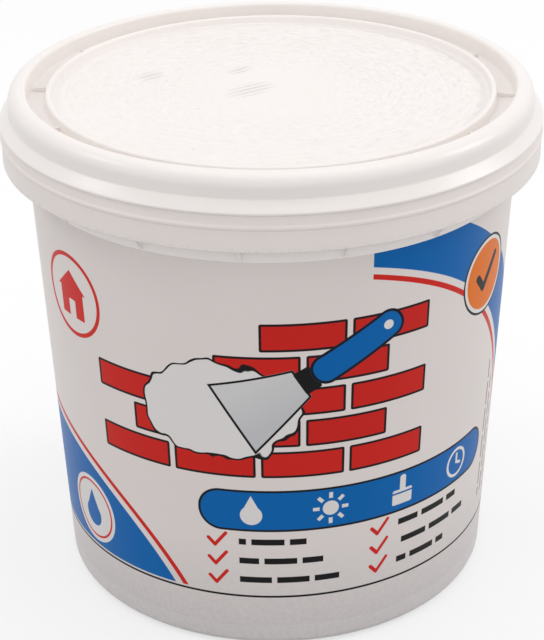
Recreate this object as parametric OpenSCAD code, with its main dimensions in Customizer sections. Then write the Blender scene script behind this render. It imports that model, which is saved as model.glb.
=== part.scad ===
// Wall filler tub with a push-on lid, a wrap-round label and the paste inside.
// Millimetres, +Z up, base centre at the origin.

/* [Tub] */
// Outside diameter of the base
base_d = 107.4; // [95:0.2:112]
// Taper of the wall, degrees from upright
draft = 2.76; // [2:0.02:3.2]
// Wall thickness
wall = 1.3; // [1:0.1:1.4]
// Thickness of the floor panel
floor_t = 1.6; // [1.2:0.1:2.4]
// Height of the floor panel above the ground
floor_lift = 1.8; // [1:0.1:3]
// Width of the foot ring's flat
foot_w = 2.6; // [2:0.2:5]
// Radius at the bottom corner
base_round = 2.6; // [1:0.1:4]
// Diameter of the moulding mark under the floor
gate_d = 5; // [3:0.5:10]

/* [Collar] */
// How far the collar stands out from the mouth's wall
collar_out = 4; // [3.6:0.1:5]
// How far the lip at the edge line stands out from the band above it
lip_out = 0.3; // [0:0.05:0.5]
// Height of the lower end of the skirt
skirt_z = 109.9; // [108:0.1:111]
// Height of the edge line
edge_z = 115.5; // [114:0.1:116.5]
// Height of the collar's flat top
collar_top_z = 118.6; // [118:0.1:118.7]
// How far the skirt draws in below the edge line
skirt_in = 0.2; // [0:0.1:1.2]
// Number of gussets under the collar
gusset_n = 16; // [8:1:24]
// Thickness of a gusset
gusset_t = 1; // [0.8:0.1:2]
// Turn of the first gusset from the front, degrees
gusset_turn = -7; // [-11:0.5:11]
// Height of a gusset's foot on the wall
gusset_foot_z = 105.2; // [105.1:0.1:107]

/* [Mouth] */
// Height of the tub's rim
rim_z = 125.1; // [123:0.1:125.1]
// Step outwards of the wall at the collar
mouth_step = 1.7; // [1.4:0.1:2.4]

/* [Lid] */
// Height of the closed lid's crest
crest_z = 126.8; // [126.6:0.1:128]
// Rounding of the crest's outer side
bead_out = 3.1; // [2.4:0.1:3.2]
// Rounding of the crest's inner side
bead_in = 0.8; // [0.4:0.1:0.9]
// Thickness of the lid
lid_t = 1.1; // [0.9:0.05:1.15]
// Gap between the lid's edge and the collar
lid_gap = 0.3; // [0.2:0.05:0.5]
// Play between the plug wall and the inside of the rim
plug_play = 0.3; // [0.2:0.05:0.5]
// Play between the outside of the rim and the lid's skirt
skirt_play = 0.6; // [0.5:0.05:0.7]
// Height of the bevel's start above the collar
bevel_h = 2.8; // [2.2:0.1:3]
// Depth of the channel below the crest
channel_drop = 4.4; // [3.4:0.1:5.4]
// Depth of the plug wall below the crest
plug_drop = 7.2; // [6:0.1:8]
// Distance of the raised ring inside the plug wall
ring_inset = 5.2; // [4:0.1:10]
// Width of the raised ring
ring_w = 1.2; // [1.2:0.1:2.4]
// Drop of the raised ring's top below the crest
ring_drop = 1.7; // [1:0.1:2.6]
// Drop of the centre panel below the crest
panel_drop = 3.5; // [2.8:0.1:4.2]
// Number of ribs in the channel
rib_n = 12; // [6:1:24]
// Thickness of a rib
rib_t = 0.9; // [0.8:0.1:2]
// Turn of the first rib from the front, degrees
rib_turn = -4; // [-15:0.5:15]

/* [Label and paste] */
// Thickness of the label film
film = 0.3; // [0.2:0.05:0.4]
// Height of the label's lower edge
label_z0 = 6; // [4:0.5:12]
// Height of the label's upper edge
label_z1 = 105; // [98:0.2:105]
// Gap at the label's seam
seam_gap = 1.2; // [0.6:0.1:3]
// Height of the paste's surface
paste_z = 108.5; // [60:0.5:110]

/* [Hidden] */
$fn = 96;
base_r = base_d / 2;
slope = tan(draft);
foot_r = wall_r(base_round) - base_round;
floor_top = floor_lift + floor_t;
mouth_z = edge_z - 2.5;
rise_z = mouth_z + 3;
mouth_r = wall_r(rise_z) + mouth_step;
collar_r = mouth_r + collar_out;
plug_r = mouth_r - wall - plug_play - lid_t;
lid_skirt_r = mouth_r + skirt_play + lid_t;
ring_r = plug_r - ring_inset;
web_z = collar_top_z - wall;
skirt_r = collar_r - skirt_in;
lid_edge_z = collar_top_z + lid_gap;
bead_z = crest_z - bead_out;
bevel_z = collar_top_z + bevel_h;
channel_z = crest_z - channel_drop;
plug_z = crest_z - plug_drop;
ring_z = crest_z - ring_drop;
panel_z = crest_z - panel_drop;
ring_out = ring_r + ring_w / 2;
ring_in = ring_r - ring_w / 2;

// Outside radius of the plain wall at height z
function wall_r(z) = base_r + z * slope;

// Points on an arc from angle a0 to a1
function arc(cx, cz, r, a0, a1, n = 6) =
    [for (i = [0:n]) let (a = a0 + (a1 - a0) * i / n) [cx + r * cos(a), cz + r * sin(a)]];

// Wall, base, collar and rim as one turned profile
module tub_body() {
    inner = [
        [0, floor_top],
        [wall_r(floor_top) - wall - 1.5, floor_top],
        [wall_r(floor_top) - wall - 0.4, floor_top + 0.5],
        [wall_r(floor_top + 1.6) - wall, floor_top + 1.6],
        [wall_r(mouth_z) - wall, mouth_z],
        [mouth_r - wall, rise_z],
        [mouth_r - wall, rim_z - 1]
    ];
    rim = arc(mouth_r - wall / 2, rim_z - wall / 2, wall / 2, 180, 0, 6);
    collar = [
        [mouth_r, collar_top_z],
        [collar_r - lip_out - 0.6, collar_top_z],
        [collar_r - lip_out, collar_top_z - 0.6],
        [collar_r - lip_out, edge_z + 0.9],
        [collar_r, edge_z + 0.4],
        [collar_r, edge_z],
        [collar_r - 0.25, edge_z - 0.3],
        [skirt_r, skirt_z],
        [skirt_r - wall, skirt_z],
        [collar_r - wall - 0.4, web_z - 0.5],
        [collar_r - wall - 0.9, web_z],
        [mouth_r, web_z],
        [mouth_r, rise_z],
        [wall_r(mouth_z), mouth_z]
    ];
    outer = [
        [wall_r(label_z1), label_z1],
        [wall_r(label_z1) - film, label_z1],
        [wall_r(label_z0) - film, label_z0],
        [wall_r(label_z0), label_z0],
        [wall_r(base_round), base_round]
    ];
    corner = arc(foot_r, base_round, base_round, -15, -90, 5);
    foot = [
        [foot_r - foot_w, 0],
        [foot_r - foot_w - 0.8, floor_lift],
        [0, floor_lift]
    ];
    rotate_extrude()
        polygon(concat(inner, rim, collar, outer, corner, foot));
}

// One gusset between the wall and the skirt
module gusset() {
    rotate([90, 0, 0])
        linear_extrude(gusset_t, center = true)
            polygon([
                [wall_r(gusset_foot_z) - 0.4, gusset_foot_z],
                [wall_r(gusset_foot_z) + 0.7, gusset_foot_z + 0.3],
                [skirt_r - wall + 0.3, skirt_z + 0.8],
                [skirt_r - wall + 0.3, web_z + 0.3],
                [mouth_r - 0.3, web_z + 0.3],
                [mouth_r - 0.3, rise_z],
                [wall_r(mouth_z) - 0.4, mouth_z]
            ]);
}

module tub() {
    color("whitesmoke")
        union() {
            tub_body();
            translate([0, 0, floor_lift - 0.6])
                cylinder(h = 1, d = gate_d);
            for (i = [0:gusset_n - 1])
                rotate(i * 360 / gusset_n - 90 + gusset_turn)
                    gusset();
        }
}

// Film set flush into the wall, with its seam at the back
module label() {
    color("royalblue")
        difference() {
            rotate_extrude()
                polygon([
                    [wall_r(label_z0) - film, label_z0],
                    [wall_r(label_z0), label_z0],
                    [wall_r(label_z1), label_z1],
                    [wall_r(label_z1) - film, label_z1]
                ]);
            translate([-seam_gap / 2, 0, label_z0 - 1])
                cube([seam_gap, collar_r, label_z1 - label_z0 + 2]);
        }
}

// Paste filled to its level, a little lower in the middle
module filler() {
    color("ivory")
        rotate_extrude()
            polygon([
                [0, floor_top],
                [wall_r(floor_top) - wall - 1.5, floor_top],
                [wall_r(floor_top) - wall - 0.4, floor_top + 0.5],
                [wall_r(floor_top + 1.6) - wall, floor_top + 1.6],
                [wall_r(paste_z) - wall, paste_z],
                [wall_r(paste_z) - wall - 3, paste_z - 0.8],
                [30, paste_z - 1.6],
                [14, paste_z - 1.2],
                [0, paste_z - 0.6]
            ]);
}

// Lid as one turned profile: upper side out to the edge, then back underneath
module lid_body() {
    bead_r0 = lid_skirt_r - bead_out;
    crest_in = arc(plug_r + bead_in, crest_z - bead_in, bead_in, 180, 90, 5);
    crest_over = arc(bead_r0, bead_z, bead_out, 90, 0, 9);
    crest_under = arc(bead_r0, bead_z, bead_out - lid_t, 0, 90, 7);
    upper = [
        [0, panel_z],
        [ring_in - 0.9, panel_z],
        [ring_in - 0.2, panel_z + 0.3],
        [ring_in, ring_z - 0.4],
        [ring_in + 0.4, ring_z],
        [ring_out - 0.4, ring_z],
        [ring_out, ring_z - 0.4],
        [ring_out + 0.2, channel_z + 0.4],
        [ring_out + 0.7, channel_z],
        [plug_r - 0.9, channel_z],
        [plug_r - 0.2, channel_z + 0.5]
    ];
    edge = [
        [lid_skirt_r, bevel_z + 0.5],
        [lid_skirt_r + 0.3, bevel_z],
        [collar_r - 0.7, lid_edge_z + 1.1],
        [collar_r, lid_edge_z + 0.5],
        [collar_r - 0.1, lid_edge_z],
        [collar_r - lid_t, lid_edge_z],
        [collar_r - lid_t - 0.2, lid_edge_z + 0.3],
        [lid_skirt_r - lid_t + 0.1, bevel_z - 0.4]
    ];
    under = [
        [plug_r + lid_t, crest_z - lid_t],
        [plug_r + lid_t, plug_z + 0.8],
        [plug_r + lid_t - 0.4, plug_z],
        [plug_r, plug_z],
        [plug_r, channel_z - lid_t - 0.4],
        [plug_r - 0.4, channel_z - lid_t],
        [0, channel_z - lid_t]
    ];
    hollow = [
        [0, channel_z - lid_t - 1],
        [ring_out - lid_t, channel_z - lid_t - 1],
        [ring_out - lid_t, panel_z - lid_t],
        [0, panel_z - lid_t]
    ];
    difference() {
        rotate_extrude()
            polygon(concat(upper, crest_in, crest_over, edge, crest_under, under));
        rotate_extrude()
            polygon(hollow);
    }
}

// One rib from the raised ring across the channel
module rib() {
    rotate([90, 0, 0])
        linear_extrude(rib_t, center = true)
            polygon([
                [ring_out - 0.5, channel_z - 0.3],
                [plug_r + 0.3, channel_z - 0.3],
                [plug_r + 0.3, channel_z + 1],
                [ring_out + 0.6, ring_z - 0.9],
                [ring_out - 0.5, ring_z - 0.9]
            ]);
}

module lid() {
    color("white")
        union() {
            lid_body();
            for (i = [0:rib_n - 1])
                rotate(i * 360 / rib_n - 90 + rib_turn)
                    rib();
        }
}

tub();
label();
filler();
lid();
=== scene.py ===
"""Looks of the wall filler tub: moulded tub and lid, printed film, and the paste inside."""
import math

import bpy
from mathutils import Matrix, Vector, noise


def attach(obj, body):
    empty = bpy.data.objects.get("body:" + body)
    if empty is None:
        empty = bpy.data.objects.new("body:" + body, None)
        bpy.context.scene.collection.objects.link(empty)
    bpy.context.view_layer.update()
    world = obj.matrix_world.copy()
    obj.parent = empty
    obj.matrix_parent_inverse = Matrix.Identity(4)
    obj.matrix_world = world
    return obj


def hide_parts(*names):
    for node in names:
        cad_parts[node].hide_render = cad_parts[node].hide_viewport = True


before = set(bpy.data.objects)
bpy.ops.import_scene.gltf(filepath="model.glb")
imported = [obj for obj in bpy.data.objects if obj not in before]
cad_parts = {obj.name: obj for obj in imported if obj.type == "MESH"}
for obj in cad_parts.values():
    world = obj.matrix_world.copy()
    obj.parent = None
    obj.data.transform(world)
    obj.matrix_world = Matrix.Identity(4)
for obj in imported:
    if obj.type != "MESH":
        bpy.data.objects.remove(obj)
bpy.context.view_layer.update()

# Sizes in millimetres, as in the part's source
MM = 0.001
WALL = 1.3
FILM = 0.3
SEAM = 1.2
LABEL_LOW, LABEL_TOP = 6.0, 105.0
LABEL_RADIUS = 57.0
PASTE = 108.5
PLAY = 0.02


def wall_at(height):
    """Outside radius of the tapered wall."""
    return 53.7 + height * math.tan(math.radians(2.76))


MOUTH = wall_at(116) + 1.7
COLLAR = MOUTH + 4
PLUG = MOUTH - WALL - 1.4
SKIRT = MOUTH + 1.7
RING = PLUG - 5.2
SKIRT_FOOT = 109.8
CREST = 126.8
PANEL = 123.3
CHANNEL = 122.4


# ---------------------------------------------------------------- camera

def place_camera():
    """The photograph's view: a long lens, looking down at the tub."""
    place = (0, -0.42847, 0.27739)
    pitch, yaw, roll = 0.4664, -0.001, -0.0124
    flat = math.cos(pitch)
    ahead = Vector((math.sin(yaw) * flat, math.cos(yaw) * flat, -math.sin(pitch)))
    level = Vector((math.cos(yaw), -math.sin(yaw), 0))
    upright = level.cross(ahead)
    right = math.cos(roll) * level + math.sin(roll) * upright
    up = -math.sin(roll) * level + math.cos(roll) * upright
    lens = bpy.data.cameras.new("photo_camera")
    lens.sensor_width = 36
    lens.lens = 106.13
    lens.clip_start = 0.01
    camera = bpy.data.objects.new("photo_camera", lens)
    bpy.context.collection.objects.link(camera)
    turn = Matrix((right, up, -ahead)).transposed().to_4x4()
    camera.matrix_world = Matrix.Translation(place) @ turn
    bpy.context.scene.camera = camera


place_camera()


# ---------------------------------------------------------------- modelling

def start_point(name, x, z):
    """A new piece that is one point, taken from a small plane merged to its centre."""
    bpy.ops.object.select_all(action="DESELECT")
    bpy.ops.mesh.primitive_plane_add(size=MM, location=(0, 0, 0))
    piece = bpy.context.object
    piece.name = piece.data.name = name
    bpy.ops.object.mode_set(mode="EDIT")
    bpy.ops.mesh.select_mode(type="VERT")
    bpy.ops.mesh.merge(type="CENTER")
    bpy.ops.transform.translate(value=(x * MM, 0, z * MM))
    return piece


def draw_outline(points):
    """Extrudes the selected point along an outline in the X-Z plane."""
    for (x0, z0), (x1, z1) in zip(points, points[1:]):
        step = ((x1 - x0) * MM, 0, (z1 - z0) * MM)
        bpy.ops.mesh.extrude_vertices_move(TRANSFORM_OT_translate={"value": step})


def rounded(corners, turn=14):
    """Outline from (radius, height, corner radius) points, each corner drawn as an arc."""
    points = []
    for i, (x, z, corner) in enumerate(corners):
        here = Vector((x, z))
        if not corner or i in (0, len(corners) - 1):
            points.append((x, z))
            continue
        back = (Vector(corners[i - 1][:2]) - here).normalized()
        ahead = (Vector(corners[i + 1][:2]) - here).normalized()
        bend = math.pi - back.angle(ahead)
        reach = corner * math.tan(bend / 2)
        centre = here + (back + ahead).normalized() * corner / math.cos(bend / 2)
        first = here + back * reach - centre
        last = here + ahead * reach - centre
        steps = max(2, math.ceil(math.degrees(bend) / turn))
        side = 1 if first.x * last.y - first.y * last.x > 0 else -1
        for k in range(steps + 1):
            swing = Matrix.Rotation(side * bend * k / steps, 2)
            spot = centre + swing @ first
            points.append((spot.x, spot.y))
    return points


def turned(name, points, steps=192, sweep=360):
    """A piece turned about the tub's axis from its outline."""
    piece = start_point(name, *points[0])
    draw_outline(points)
    bpy.ops.mesh.select_all(action="SELECT")
    bpy.ops.mesh.spin(steps=steps, angle=math.radians(sweep), center=(0, 0, 0), axis=(0, 0, 1))
    bpy.ops.mesh.select_all(action="SELECT")
    bpy.ops.mesh.remove_doubles(threshold=2e-6)
    bpy.ops.mesh.normals_make_consistent(inside=False)
    bpy.ops.object.mode_set(mode="OBJECT")
    return piece


def web(name, points, thickness, soft):
    """A flat web standing in the X-Z plane, with softened edges."""
    piece = start_point(name, *points[0])
    draw_outline(points)
    bpy.ops.mesh.select_all(action="SELECT")
    bpy.ops.mesh.edge_face_add()
    bpy.ops.mesh.select_all(action="SELECT")
    bpy.ops.mesh.extrude_region_move(TRANSFORM_OT_translate={"value": (0, thickness * MM, 0)})
    bpy.ops.mesh.select_all(action="SELECT")
    bpy.ops.transform.translate(value=(0, -thickness * MM / 2, 0))
    bpy.ops.mesh.normals_make_consistent(inside=False)
    bpy.ops.object.mode_set(mode="OBJECT")
    edges = piece.modifiers.new("softened", "BEVEL")
    edges.width = soft * MM
    edges.segments = 2
    bpy.ops.object.modifier_apply(modifier=edges.name)
    return piece


def set_round(piece, count, first):
    """Copies of a web spaced evenly round the axis, the first at that many degrees."""
    copies = []
    for i in range(count):
        copy = piece.copy()
        copy.data = piece.data.copy()
        bpy.context.collection.objects.link(copy)
        copy.rotation_euler.z = math.radians(first + i * 360 / count)
        copies.append(copy)
    bpy.data.objects.remove(piece)
    return copies


def moulded_on(piece, others):
    """Joins webs to the moulding that they belong to."""
    bpy.ops.object.select_all(action="DESELECT")
    for part in others + [piece]:
        part.select_set(True)
    bpy.context.view_layer.objects.active = piece
    bpy.ops.object.transform_apply(location=True, rotation=True, scale=True)
    bpy.ops.object.join()
    return piece


def smooth(piece, angle=38):
    """Smooth shading that keeps the flats flat."""
    bpy.ops.object.select_all(action="DESELECT")
    piece.select_set(True)
    bpy.context.view_layer.objects.active = piece
    bpy.ops.object.shade_smooth_by_angle(angle=math.radians(angle))
    flats = piece.modifiers.new("flats", "WEIGHTED_NORMAL")
    flats.keep_sharp = True
    flats.weight = 80
    bpy.ops.object.modifier_apply(modifier=flats.name)
    return piece


def make_tub():
    """Wall, floor, foot ring, stepped mouth, hollow collar and gussets in one moulding."""
    corners = [
        (0, 3.4, 0),
        (wall_at(3.4) - WALL, 3.4, 1.6),
        (wall_at(113) - WALL, 113, 2),
        (MOUTH - WALL, 116, 2),
        (MOUTH - WALL, 125.1, 0.6),
        (MOUTH, 125.1, 0.6),
        (MOUTH, 118.6, 0.5),
        (COLLAR - 0.65, 118.6, 0.35),
        (COLLAR - 0.3, 116.4, 0.5),
        (COLLAR, 115.95, 0.15),
        (COLLAR, 115.45, 0.2),
        (COLLAR - 0.3, 115.1, 0.25),
        (COLLAR - 0.2, 109.9, 0.4),
        (COLLAR - 1.5, 109.9, 0.4),
        (COLLAR - 1.7, 117.3, 0.6),
        (MOUTH, 117.3, 0.5),
        (MOUTH, 116, 1.5),
        (wall_at(113), 113, 2),
        (wall_at(LABEL_TOP), LABEL_TOP, 0.08),
        (wall_at(LABEL_TOP) - FILM, LABEL_TOP, 0),
        (wall_at(LABEL_LOW) - FILM, LABEL_LOW, 0),
        (wall_at(LABEL_LOW), LABEL_LOW, 0.08),
        (wall_at(0), 0, 2.6),
        (48.6, 0, 0.35),
        (47.8, 1.8, 0.5),
        (3.1, 1.8, 0.4),
        (2.5, 1.2, 0.25),
        (0, 1.2, 0),
    ]
    tub = turned("tub_shell", rounded(corners))
    gusset = web("gusset", [
        (wall_at(105.2) - 0.4, 105.2),
        (wall_at(105.2) + 0.7, 105.5),
        (COLLAR - 1.3, 110.7),
        (COLLAR - 1.3, 117.6),
        (MOUTH - 0.3, 117.6),
        (MOUTH - 0.3, 116),
        (wall_at(113) - 0.4, 113),
    ], 1, 0.2)
    return smooth(moulded_on(tub, set_round(gusset, 16, -97)))


def make_lid():
    """Panel, raised ring, channel, crest, bevelled edge and plug wall, with the channel's ribs."""
    corners = [
        (0, PANEL, 0),
        (RING - 0.95, PANEL, 0.5),
        (RING - 0.6, 125.1, 0.45),
        (RING + 0.6, 125.1, 0.5),
        (RING + 0.9, CHANNEL, 0.8),
        (PLUG - 0.15, CHANNEL, 0.9),
        (PLUG, CREST, 0.75),
        (SKIRT, CREST, 3.1),
        (SKIRT, 121.5, 0.5),
        (COLLAR - 0.6, 119.8, 0.9),
        (COLLAR - 0.05, 119.2, 0.4),
        (COLLAR - 0.1, 118.63, 0.3),
        (COLLAR - 1.1, 118.63, 0.1),
        (COLLAR - 1.3, 119.1, 0.3),
        (SKIRT - 1.1, 120.6, 0.5),
        (SKIRT - 1.1, CREST - 1.1, 2),
        (PLUG + 1.1, CREST - 1.1, 0.15),
        (PLUG + 1.1, 120.2, 0.4),
        (PLUG + 0.8, 119.6, 0.3),
        (PLUG, 119.6, 0.3),
        (PLUG, 121.3, 0.5),
        (RING - 0.4, 121.3, 0.2),
        (RING - 0.4, 122.2, 0.2),
        (0, 122.2, 0),
    ]
    lid = turned("lid_shell", rounded(corners, 11))
    rib = web("rib", [
        (RING + 0.3, CHANNEL - 0.3),
        (PLUG + 0.3, CHANNEL - 0.3),
        (PLUG + 0.3, CHANNEL + 0.6),
        (RING + 1.1, CHANNEL + 1.3),
        (RING + 0.3, CHANNEL + 1.3),
    ], 0.85, 0.3)
    return smooth(moulded_on(lid, set_round(rib, 12, -94)))


def make_film():
    """The wrap-round label: half of it turned, then mirrored, with a seam left at the back."""
    middle = (LABEL_LOW + LABEL_TOP) / 2
    inner = PLAY - FILM
    corners = [
        (wall_at(middle) + inner, middle, 0),
        (wall_at(LABEL_LOW) + inner, LABEL_LOW, 0),
        (wall_at(LABEL_LOW), LABEL_LOW, 0.1),
        (wall_at(LABEL_TOP), LABEL_TOP, 0.1),
        (wall_at(LABEL_TOP) + inner, LABEL_TOP, 0),
        (wall_at(middle) + inner, middle, 0),
    ]
    half = 180 - math.degrees(SEAM / 2 / LABEL_RADIUS)
    film = turned("label_film", rounded(corners), 96, half)
    film.rotation_euler.z = math.radians(-90)
    bpy.ops.object.transform_apply(location=True, rotation=True, scale=True)
    if sum(v.co.x for v in film.data.vertices) < 0:
        film.scale.x = -1
        bpy.ops.object.transform_apply(location=True, rotation=True, scale=True)
    other = film.modifiers.new("other_half", "MIRROR")
    other.merge_threshold = 2e-6
    bpy.ops.object.modifier_apply(modifier=other.name)
    bpy.ops.object.mode_set(mode="EDIT")
    bpy.ops.mesh.select_mode(type="EDGE")
    bpy.ops.mesh.select_all(action="DESELECT")
    bpy.ops.mesh.select_non_manifold()
    bpy.ops.mesh.fill_holes(sides=24)
    bpy.ops.mesh.select_all(action="SELECT")
    bpy.ops.mesh.normals_make_consistent(inside=False)
    bpy.ops.object.mode_set(mode="OBJECT")
    return smooth(film)


def make_paste():
    """Paste to its level, with the folded spiral that filling leaves on top."""
    top = wall_at(PASTE) - WALL - PLAY
    level, spacing = PASTE - 1.2, 0.8
    points = rounded([
        (0, 3.42, 0),
        (wall_at(3.4) - WALL - PLAY, 3.42, 1.6),
        (top, PASTE - 0.9, 0.3),
        (top - 2.2, level, 0),
    ])
    points += [(r * spacing, level) for r in range(int((top - 3) / spacing), -1, -1)]
    paste = turned("paste_fill", points, 240)
    fold_pitch = 10.5
    for v in paste.data.vertices:
        radius = math.hypot(v.co.x, v.co.y) / MM
        if v.co.z < 0.1 or radius > top - 2.5:
            continue
        angle = math.atan2(v.co.y, v.co.x)
        drift = noise.noise(v.co * 45) * 1.6
        drift += noise.noise(v.co * 130 + Vector((5, 0, 0))) * 0.35
        fold = math.cos(math.tau * (radius / fold_pitch) - angle + drift)
        fade = min(1, radius / 9) * min(1, (top - 2.5 - radius) / 4)
        lift = 0.62 * (1 - abs(fold)) ** 0.8 * 2 - 0.72
        lift = lift * fade + noise.noise(v.co * 260) * 0.12 * fade
        tail = 1.05 * math.exp(-(radius / 3.4) ** 2)
        v.co.z += (lift + tail - 0.25 * (1 - fade)) * MM
        v.co.z = min(v.co.z, PASTE * MM)
    paste.data.update()
    return smooth(paste, 60)


tub = make_tub()
lid = make_lid()
film = make_film()
paste = make_paste()


# ---------------------------------------------------------------- materials

class Val:
    """One socket of a material. Arithmetic on it adds Math nodes to the same material."""

    def __init__(self, tree, socket=None):
        self.tree = tree
        self.socket = socket

    def node(self, kind, settings=None, values=None, out=0):
        """Adds a node: its settings first, then a value or a link for each socket."""
        made = self.tree.nodes.new("ShaderNode" + kind)
        for name, value in (settings or {}).items():
            setattr(made, name, value)
        for key, value in (values or {}).items():
            if isinstance(value, Val):
                self.tree.links.new(value.socket, made.inputs[key])
            else:
                made.inputs[key].default_value = value
        return Val(self.tree, made.outputs[out] if made.outputs else None)

    def output(self, key):
        """Another output of the same node."""
        return Val(self.tree, self.socket.node.outputs[key])

    def math(self, operation, other=0.0, held=False):
        settings = {"operation": operation, "use_clamp": held}
        return self.node("Math", settings, {0: self, 1: other})

    def held(self):
        """Held between 0 and 1."""
        return self.math("ADD", 0.0, True)

    def __add__(self, other):
        return self.math("ADD", other)

    def __sub__(self, other):
        return self.math("SUBTRACT", other)

    def __mul__(self, other):
        return self.math("MULTIPLY", other)

    def __truediv__(self, other):
        return self.math("DIVIDE", other)

    def __rsub__(self, other):
        return self.node("Math", {"operation": "SUBTRACT"}, {0: other, 1: self})

    def __rtruediv__(self, other):
        return self.node("Math", {"operation": "DIVIDE"}, {0: other, 1: self})

    def __neg__(self):
        return self * -1.0

    def __abs__(self):
        return self.math("ABSOLUTE")

    __radd__ = __add__
    __rmul__ = __mul__

    def most(self, other):
        return self.math("MAXIMUM", other)

    def least(self, other):
        return self.math("MINIMUM", other)

    def root(self):
        return self.math("SQRT")

    def floor(self):
        return self.math("FLOOR")

    def rest(self, step):
        """What is left over after whole steps."""
        return self.math("FLOORED_MODULO", step)

    def within(self, soft=0.12):
        """1 inside a shape and 0 outside it, from the distance to its edge in mm."""
        settings = {"operation": "MULTIPLY_ADD", "use_clamp": True}
        return self.node("Math", settings, {0: self, 1: -1 / soft, 2: 0.5})

    def line(self, width):
        """Distance to a line of that width drawn along the shape's edge."""
        return abs(self) - width / 2

    def blend(self, low, high):
        """One colour where this is 0, running to the other where it is 1."""
        return self.node("Mix", {"data_type": "RGBA"}, {0: self, 6: low, 7: high}, out=2)

    def inked(self, mask, ink):
        """This colour with another laid over it where the mask is 1."""
        return mask.blend(self, ink)


def rgb(red, green, blue):
    return (red, green, blue, 1)


def blank(owner):
    """The emptied node tree of a new material or world."""
    owner.use_nodes = True
    owner.node_tree.nodes.clear()
    return Val(owner.node_tree)


def begin(name):
    """A new material, with the place on the piece in millimetres."""
    material = bpy.data.materials.new(name)
    place = blank(material).node("TexCoord", out=3)
    place = place.node("VectorMath", {"operation": "SCALE"}, {0: place, "Scale": 1 / MM})
    parts = place.node("SeparateXYZ", values={0: place})
    x, y, z = (parts.output(i) for i in range(3))
    return material, place, x, y, z


def grain(place, size, detail=2.0, rough=0.5, stretch=None):
    """Noise from 0 to 1 with features about size mm across."""
    if stretch:
        place = place.node("VectorMath", {"operation": "MULTIPLY"}, {0: place, 1: stretch})
    values = {"Vector": place, "Scale": 1 / size, "Detail": detail, "Roughness": rough}
    return place.node("TexNoise", values=values)


def leaning(run, rise, lean):
    """Distances along and across a direction that leans by that many degrees."""
    cos, sin = math.cos(math.radians(lean)), math.sin(math.radians(lean))
    return run * cos + rise * sin, rise * cos - run * sin


def finish_surface(tone, roughness, relief, fixed):
    """The shader of a material from its colour, roughness and relief height in mm."""
    values = {"Base Color": tone, "Roughness": roughness}
    bump = {"Strength": 1.0, "Distance": MM, "Height": relief}
    values["Normal"] = tone.node("Bump", values=bump)
    values.update(fixed)
    shader = tone.node("BsdfPrincipled", values=values)
    shader.node("OutputMaterial", values={"Surface": shader})


def specks(place, size, share):
    """Small scattered marks: 1 on a speck, for about that share of the cells."""
    cells = place.node("TexVoronoi", {"feature": "F1"}, {"Vector": place, "Scale": 1 / size})
    pick = cells.node("SeparateColor", values={0: cells.output("Color")})
    reach, edge = 0.16, 12
    near = ((reach - cells) * edge).held()
    return near * (pick - (1 - share)).math("SIGN").most(0.0)


def shaded_to_base(tone, z, dust):
    """Greyer towards the base: painted shade, mottled by the dust noise."""
    reach = 30.0
    low = ((reach - z) / reach).held()
    return tone.inked(low * (0.50 + (dust - 0.5) * 0.9), rgb(0.50, 0.495, 0.515))


# Pairs of close tones that a surface drifts between
TUB_WHITE = rgb(0.838, 0.770, 0.742), rgb(0.868, 0.808, 0.783)
LID_WHITE = rgb(0.868, 0.818, 0.790), rgb(0.896, 0.852, 0.828)
PASTE_WHITE = rgb(0.80, 0.785, 0.755), rgb(0.87, 0.86, 0.835)
GROUND = rgb(0.792, 0.729, 0.707), rgb(0.825, 0.764, 0.744)


def make_tub_plastic():
    """Satin white moulding: faint flow marks, dust on the collar's lower edge, painted shade
    towards the base, and painted light on the bare strip and inside under the collar.
    """
    material, place, x, y, z = begin("white_tub_plastic")
    cloud = grain(place, 26, 3)
    flow = grain(place, 5, 2, stretch=(1.0, 1.0, 0.12))
    dust = grain(place, 1.1, 4, 0.7)
    tone = cloud.blend(*TUB_WHITE)
    tone = tone.inked((flow - 0.5).most(0.0) * 0.35, rgb(0.74, 0.70, 0.69))
    skirt = (abs(z - SKIRT_FOOT) - 1.2).within(1.0) * (dust - 0.48).most(0.0) * 1.6
    tone = tone.inked(skirt.least(0.4), rgb(0.56, 0.53, 0.50))
    # Painted light: the bare strip between the film and the collar, and the inside above the film,
    # are lightened against the shade that the collar and lid cast there
    inner = ((x * x + y * y).root() - (COLLAR - 2.0)).within(0.5)
    tone = tone.inked((LABEL_TOP - 1.4 - z).within(1.0) * inner, rgb(0.96, 0.915, 0.89))
    tone = tone.inked((z - LABEL_LOW - 1.0).within(0.4), cloud.blend(*GROUND))
    # Painted shade towards the base
    tone = shaded_to_base(tone, z, dust)
    tone = tone.inked(specks(place, 2.6, 0.05) * 0.12, rgb(0.45, 0.42, 0.40))
    roughness = 0.36 + cloud * 0.08 + (dust - 0.5) * 0.10
    relief = grain(place, 0.9, 2) * 0.012 + flow * 0.02 + cloud * 0.05
    finish_surface(tone, roughness, relief, {"IOR": 1.5})
    return material


# Scuffs on the lid's panel: x, y, half length, half width, and lean in degrees
SCUFFS = (
    (-29.5, 11.0, 4.6, 3.4, 50),
    (-7.6, 15.0, 4.6, 2.6, 50),
    (-5.0, 0.6, 8.0, 4.6, 44),
)


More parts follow.
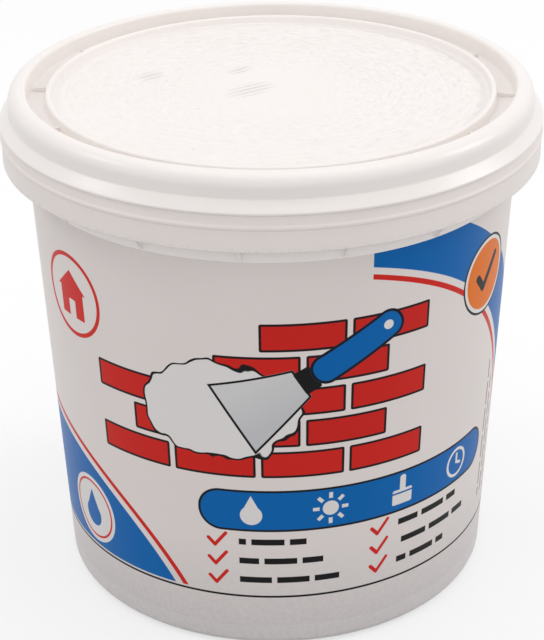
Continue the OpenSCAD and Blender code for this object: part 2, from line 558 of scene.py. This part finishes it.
def make_lid_plastic():
    """The lid's moulding: a scuffed panel with fine dashes in rings, and a smooth edge."""
    material, place, x, y, z = begin("white_lid_plastic")
    radius = (x * x + y * y).root()
    on_panel = (radius - (RING - 2.4)).within(1.5) * (abs(z - PANEL) - 0.5).within(0.4)
    around = 13.0
    turn = {0: x / radius * around, 1: y / radius * around, 2: radius * 0.85}
    dashes = grain(place.node("CombineXYZ", values=turn), 1.0, 2.0, 0.6)
    rings = (radius * 4.4).math("SINE")
    # The dashes are drawn stronger towards the back right: painted light, as a highlight would
    # show them there; their relief follows the same mask
    texture_with_side_light = on_panel * ((radius - 3.0) / 24.0).held() * (0.9 + (x + y) * 0.006)
    cloud = grain(place, 22, 3)
    fine = grain(place, 0.8, 3, 0.6)
    tone = cloud.blend(*LID_WHITE)
    tone = tone.inked((dashes - 0.52).most(0.0) * texture_with_side_light * 1.5, rgb(0.70, 0.665, 0.64))
    tone = tone.inked((0.46 - dashes).most(0.0) * texture_with_side_light * 2.8, rgb(0.93, 0.91, 0.89))
    for mark_x, mark_y, long, wide, lean in SCUFFS:
        along, across = leaning(x - mark_x, y - mark_y, lean)
        end, side = along / long, across / wide
        patch = 1 - (end * end + side * side).least(1.0)
        hatch = (across * 3.2 + along * 0.6).math("SINE") * 0.5 + 0.5
        hatch = hatch * (fine * 1.6).least(1.0)
        tone = tone.inked(patch * hatch * on_panel * 0.8, rgb(0.56, 0.54, 0.52))
    tone = tone.inked(specks(place, 3.4, 0.10) * on_panel * 0.3, rgb(0.52, 0.50, 0.48))
    roughness = 0.30 + on_panel * 0.16 + (fine - 0.5) * 0.08
    relief = dashes * texture_with_side_light * 0.40 + rings * texture_with_side_light * 0.02 + fine * 0.008 + cloud * 0.04
    finish_surface(tone, roughness, relief, {"IOR": 1.5})
    return material


# Distances on the label, in mm: s runs round the tub from the front, up is the height.
# A shape is the distance to its edge, and less than 0 inside it.

def disc(s, up, at_s, at_up, radius):
    across, rise = s - at_s, up - at_up
    return (across * across + rise * rise).root() - radius


def block(s, up, at_s, at_up, width, height, corner=0.4):
    """A rectangle with rounded corners."""
    across = abs(s - at_s) - (width / 2 - corner)
    rise = abs(up - at_up) - (height / 2 - corner)
    deep = across.most(rise).least(0.0)
    across, rise = across.most(0.0), rise.most(0.0)
    return (across * across + rise * rise).root() + deep - corner


def stroke(s, up, start, end, width):
    """A line with round ends."""
    run, climb = end[0] - start[0], end[1] - start[1]
    across, rise = s - start[0], up - start[1]
    along = ((across * run + rise * climb) / (run * run + climb * climb)).held()
    across, rise = across - along * run, rise - along * climb
    return (across * across + rise * rise).root() - width / 2


def tick(s, up, start, corner, end, width):
    """A tick of two strokes, the second a little thinner."""
    return stroke(s, up, start, corner, width).least(stroke(s, up, corner, end, width - 0.1))


def drop(at, rise, tip, low, radius):
    """A water drop: a disc, and a cone that ends at the tip."""
    cone = (abs(at) * 0.894 + (rise - tip) * 0.447).most(-0.2 - rise)
    return disc(at, rise, 0, low, radius).least(cone)


RED = rgb(0.65, 0.020, 0.014)
BLUE = rgb(0.0, 0.130, 0.435)
ORANGE = rgb(0.80, 0.18, 0.010)
BLACK = rgb(0.006, 0.005, 0.006)
GREY = rgb(0.28, 0.27, 0.27)
PAPER = rgb(0.79, 0.765, 0.755)
THIN = 0.6
BASE_LINE = 14.8


def print_sweeps(tone, s, up):
    """Blue hill at the lower left and blue sweep at the upper right, each with a red line."""
    hill = disc(s, up, -82, -20, 66)
    above = BASE_LINE + 0.8 - up
    tone = tone.inked(hill.most(above).within(), BLUE)
    tone = tone.inked((hill - 2.4).line(1.3).most(above).within(), RED)
    sweep = disc(s, up, 5, 26, 84)
    right = (22.0 - s).most(above)
    tone = tone.inked(sweep.line(13).most(right).within(), BLUE)
    tone = tone.inked((sweep + 8.8).line(1.3).most(right).within(), RED)
    return tone.inked((up - BASE_LINE).line(THIN).within(), BLACK)


def print_brickwork(tone, s, up):
    """Red bricks, stepped down at the left, with a filled patch and the knife that smooths it."""
    foot, course, length = 48.4, 8.4, 21.0
    row = ((up - foot) / course).floor()
    odd = row.rest(2.0)
    shift = s + 46.0 - odd * (length / 2)
    across, rise = shift.rest(length), (up - foot).rest(course)
    brick = block(across, rise, length / 2, course / 2, 19.7, 7.1, 0.5)
    step = (row - 2.0).most(0.0) * length
    half = 2.5 * course
    reach = (step - shift).most(shift + odd * length - 4 * length)
    reach = reach.most(abs(up - (foot + half)) - half)
    place = s.node("CombineXYZ", values={0: (shift / length).floor(), 1: row, 2: 0.0})
    bake = place.node("TexWhiteNoise", values={"Vector": place})
    edge = brick.most(reach)
    tone = tone.inked(edge.within(), RED)
    tone = tone.inked(edge.within() * bake * 0.3, rgb(0.50, 0.012, 0.012))
    tone = tone.inked((edge + 0.28).line(THIN).within(), BLACK)
    ripple = s.node("CombineXYZ", values={0: s, 1: up, 2: 0.0})
    ripple = ripple.node("TexNoise", values={"Vector": ripple, "Scale": 0.16, "Detail": 1.0})
    patch = disc(s * 0.66, up, -8.6, 66.5, 12.6) + ripple * 6 - 3
    tone = tone.inked(patch.within(), PAPER)
    tone = tone.inked(patch.line(THIN).within(), BLACK)
    # The knife, in its own directions: along from the blade's edge to the handle's end
    along, across = leaning(s + 10.0, up - 64.5, 31)
    blade = (abs(across) - 10.5 + along * 0.33).most(-along).most(along - 19.0)
    tone = tone.inked(blade.within(), rgb(0.58, 0.58, 0.60))
    tone = tone.inked(blade.within() * (across * 0.09 + 0.5).held() * 0.5, PAPER)
    tone = tone.inked((blade + 0.3).line(THIN).within(), BLACK)
    collar = block(along, across, 20.4, 0, 4.2, 6.4, 0.6)
    tone = tone.inked(collar.within(), BLACK)
    handle = block(along, across, 34.0, 0, 24.5, 7.8, 3.6)
    tone = tone.inked(handle.within(), BLUE)
    tone = tone.inked((handle + 0.35).line(0.7).within(), BLACK)
    return tone.inked(disc(along, across, 42.4, 0, 1.2).within(), PAPER)


def print_signs(tone, s, up):
    """The row of white signs on a blue bar: drop, sun, brush and clock."""
    rise = up - 39.6
    bar = block(s, rise, 23.0, 0, 84.0, 11.6, 5.6)
    tone = tone.inked(bar.within(), BLUE)
    tone = tone.inked((bar + 0.28).line(THIN).within(), BLACK)
    tone = tone.inked(drop(s + 6.0, rise, 4.3, -1.2, 2.7).within(), PAPER)
    sun = s - 13.3
    glow = disc(sun, rise, 0, 0, 0)
    rays = (rise.math("ARCTAN2", sun) * 4.0).math("SINE")
    rays = (abs(rays) * glow / 4 - 0.45).most(abs(glow - 3.6) - 0.8)
    tone = tone.inked((glow - 2.0).least(rays).within(), PAPER)
    brush = s - 32.6
    bristle = block(brush, rise, 0, -1.6, 5.8, 4.2, 0.5).most(0.25 - abs(rise + 0.5))
    grip = block(brush, rise, 0, 2.3, 1.7, 4.4, 0.7)
    tone = tone.inked(bristle.least(grip).within(), PAPER)
    clock = s - 52.0
    hand = stroke(clock, rise, (0, 0), (0, 2.3), 0.8)
    hands = hand.least(stroke(clock, rise, (0, 0), (1.6, -0.6), 0.8))
    return tone.inked(disc(clock, rise, 0, 0, 3.7).line(0.8).least(hands).within(), PAPER)


def print_ticks(tone, s, up):
    """Red ticks, each before a plain black bar, in two columns under the blue bar."""
    left, foot, wide, high = -20.0, 17.0, 41.0, 5.5
    column = ((s - left) / wide).floor()
    row = ((up - foot) / high).floor()
    local = (s - left).rest(wide)
    rise = (up - foot).rest(high) - high / 2
    half = 1.5 * high
    field = (abs(s - (left + wide)) - wide).most(abs(up - (foot + half)) - half)
    mark = tick(local, rise, (3.2, 0.3), (4.8, -1.5), (7.6, 2.1), 1.0)
    tone = tone.inked(mark.most(field).within(), RED)
    length = 25.0 - (row + column * 2.0).rest(3.0) * 4.2
    bar = (abs(local - 10.8 - length / 2) - length / 2).most(abs(rise) - 0.85)
    gap = (local + row * 3.1 + column * 5.0).rest(9.4) - 1.3
    return tone.inked(bar.most(-gap).most(field).within(), BLACK)


def print_rounds(tone, s, up):
    """The house in a red ring, the tick on an orange disc, and the drop seal on the hill."""
    ring = disc(s, up, -54, 86, 10.8)
    tone = tone.inked((ring + 0.6).line(1.1).within(), RED)
    at, rise = s + 54.0, up - 86.0
    roof = (abs(at) * 0.67 + (rise - 6.4) * 0.74).most(1.2 - rise)
    walls = block(at, rise, 0, -2.1, 9.4, 7.4, 0.3)
    door = block(at, rise, 0, -3.6, 2.6, 4.6, 0.3)
    tone = tone.inked(roof.least(walls).most(-door).within(), RED)
    badge = disc(s, up, 59, 88, 9.8)
    tone = tone.inked(badge.within(), PAPER)
    tone = tone.inked((badge + 1.2).within(), ORANGE)
    tone = tone.inked(badge.line(THIN).within(), BLACK)
    mark = tick(s - 59.0, up - 88.0, (-3.9, 0.2), (-1.2, -3.0), (4.4, 3.8), 1.9)
    tone = tone.inked(mark.within(), BLACK)
    seal = disc(s, up, -55, 26, 9.4)
    tone = tone.inked(seal.within(), PAPER)
    tone = tone.inked((seal + 1.4).line(THIN).within(), RED)
    return tone.inked(drop(s + 55.0, up - 26.0, 5.6, -1.6, 3.4).within(), BLUE)


def print_back(tone, s, up):
    """Round the sides: upright grey lines, a framed panel of lines, and a grid of squares."""
    left, column = 67.4, 2.7
    half = 1.5 * column
    slot = (s - left).rest(column) - column / 2
    inside = disc(s, up, 5, 26, 72.4)
    strip = (abs(slot) - 0.5).most(abs(s - (left + half)) - half)
    strip = strip.most(abs(up - 43.0) - 22.0).most(inside)
    breaks = (up + (s / column).floor() * 4.3).rest(7.7) - 1.1
    tone = tone.inked(strip.most(-breaks).within(), GREY)
    at = s + 128.0
    tone = tone.inked(block(at, up, 0, 73, 46, 48, 2.5).line(THIN).within(), BLACK)
    tone = tone.inked(block(at, up, 0, 90, 40, 8, 1.5).within(), BLUE)
    spacing = 3.6
    row = (up / spacing).floor()
    lines = abs(up.rest(spacing) - spacing / 2) - 0.55
    lines = lines.most(abs(at) - 19.0 + (row * 5.0).rest(7.0))
    lines = lines.most(abs(up - 19 * spacing) - 4 * spacing)
    gaps = (s + row * 4.7).rest(8.3) - 1.2
    tone = tone.inked(lines.most(-gaps).within(), GREY)
    left, foot, cell = 122.0, 44.0, 18.0
    half = 1.5 * cell
    at = (s - left).rest(cell) - cell / 2
    rise = (up - foot).rest(cell) - cell / 2
    field = (abs(s - (left + cell)) - cell).most(abs(up - (foot + half)) - half)
    tile = block(at, rise, 0, 0, 14.5, 14.5, 2)
    tone = tone.inked(tile.line(0.9).most(field).within(), BLUE)
    spot = disc(at, rise, 0, 0, 3.6).least(block(at, rise, 0, -4.2, 9.6, 1.1, 0.3))
    tone = tone.inked(spot.most(field).within(), RED)
    return tone.inked(block(s, up, 140, 33, 40, 7, 1.5).within(), BLUE)


def make_film_print():
    """Printed film: white ground and generic motifs in red, blue, orange and black."""
    material, place, x, y, z = begin("printed_film")
    s = x.math("ARCTAN2", -y) * LABEL_RADIUS
    cloud = grain(place, 24, 3)
    fine = grain(place, 0.7, 3, 0.6)
    # The ground greys towards the base: painted shade
    tone = shaded_to_base(cloud.blend(*GROUND), z, grain(place, 1.1, 4, 0.7))
    for layer in (
        print_sweeps, print_brickwork, print_signs, print_ticks, print_rounds, print_back,
    ):
        tone = layer(tone, s, z)
    roughness = 0.33 + cloud * 0.08 + (fine - 0.5) * 0.06
    relief = grain(place, 1.3, 2) * 0.008 + grain(place, 12, 2, stretch=(1, 1, 0.4)) * 0.07
    finish_surface(tone, roughness, relief, {"IOR": 1.5, "Specular IOR Level": 0.12})
    return material


def make_paste_finish():
    """Smooth white paste with small burst bubbles and a drier skin in patches."""
    material, place, *_ = begin("lightweight_paste")
    cloud = grain(place, 9, 4)
    fine = grain(place, 0.6, 3, 0.6)
    pits_and_shade = specks(place, 3.0, 0.2)
    # The pits are darkened: painted shade in the burst bubbles, whose dents are real relief
    tone = cloud.blend(*PASTE_WHITE).inked(pits_and_shade * 0.35, rgb(0.66, 0.64, 0.61))
    roughness = 0.62 + cloud * 0.18 - (fine - 0.5) * 0.1
    relief = cloud * 0.35 + fine * 0.03 - pits_and_shade * 0.25
    finish_surface(tone, roughness, relief, {"IOR": 1.45})
    return material


for piece, material, body, node, slot in (
    (tub, make_tub_plastic(), "tub", "tub", "tub_plastic"),
    (lid, make_lid_plastic(), "lid", "lid", "lid_plastic"),
    (film, make_film_print(), "tub", "label", "label_film"),
    (paste, make_paste_finish(), "tub", "filler", "paste"),
):
    piece.data.materials.clear()
    piece.data.materials.append(material)
    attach(piece, body)
    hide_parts(node)


# ---------------------------------------------------------------- studio

WHITE = rgb(1, 1, 1)


def seen_directly(tree):
    """1 where the camera, a reflection or a clear surface shows what is there."""
    path = tree.node("LightPath")
    camera, glossy, clear = (
        path.output(f"Is {kind} Ray") for kind in ("Camera", "Glossy", "Transmission"))
    return camera.most(glossy).most(clear)


def make_floor():
    """A plain pale floor that shows white to the camera and keeps the tub's shadow."""
    bpy.ops.object.select_all(action="DESELECT")
    bpy.ops.mesh.primitive_plane_add(size=8, location=(0, 0, -0.0002))
    floor = bpy.context.object
    floor.name = "studio_floor"
    material = bpy.data.materials.new("pale_floor")
    start = blank(material)
    seen = seen_directly(start)
    pale = seen.blend(rgb(0.5, 0.5, 0.5), rgb(0.96, 0.96, 0.96))
    matt = start.node("BsdfDiffuse", values={"Color": pale})
    white = start.node("Emission", values={"Color": WHITE, "Strength": 1.0})
    mixed = start.node("MixShader", values={0: seen * 0.6, 1: matt, 2: white})
    mixed.node("OutputMaterial", values={"Surface": mixed})
    floor.data.materials.append(material)


def make_world(strength):
    """Even surrounding light, white where the camera or a reflection sees it."""
    world = bpy.data.worlds.new("studio")
    start = blank(world)
    dim = start.node("Background", values={"Color": WHITE, "Strength": strength})
    white = start.node("Background", values={"Color": WHITE, "Strength": 1.0})
    mixed = start.node("MixShader", values={0: seen_directly(start), 1: dim, 2: white})
    mixed.node("OutputWorld", values={"Surface": mixed})
    bpy.context.scene.world = world


def soft_lamp(name, place, size, watts, aim=(0, 0, 0.08)):
    """A square softbox turned towards the tub."""
    lamp = bpy.data.lights.new(name, "AREA")
    lamp.size = size
    lamp.energy = watts
    holder = bpy.data.objects.new(name, lamp)
    bpy.context.collection.objects.link(holder)
    holder.location = place
    holder.rotation_euler = (Vector(aim) - Vector(place)).to_track_quat("-Z", "Y").to_euler()


# Each lamp's place, size and watts
LAMPS = {
    "overhead": ((0.0, 0.15, 1.2), 1.0, 2.15),
    "front_fill": ((0.0, -1.2, 0.45), 0.6, 0.9),
    "left_box": ((-0.70, 0.04, 0.78), 0.2, 0.75),
    "left_fill": ((-1.0, -0.6, 0.5), 0.5, 0.4),
    "right_box": ((0.84, 0.12, 0.66), 0.35, 1.7),
    "right_fill": ((1.0, -0.6, 0.5), 0.5, 0.4),
}
make_floor()
make_world(0.77)
for lamp_name, (lamp_place, lamp_size, lamp_watts) in LAMPS.items():
    soft_lamp(lamp_name, lamp_place, lamp_size, lamp_watts)

bpy.context.scene.view_settings.view_transform = "Standard"
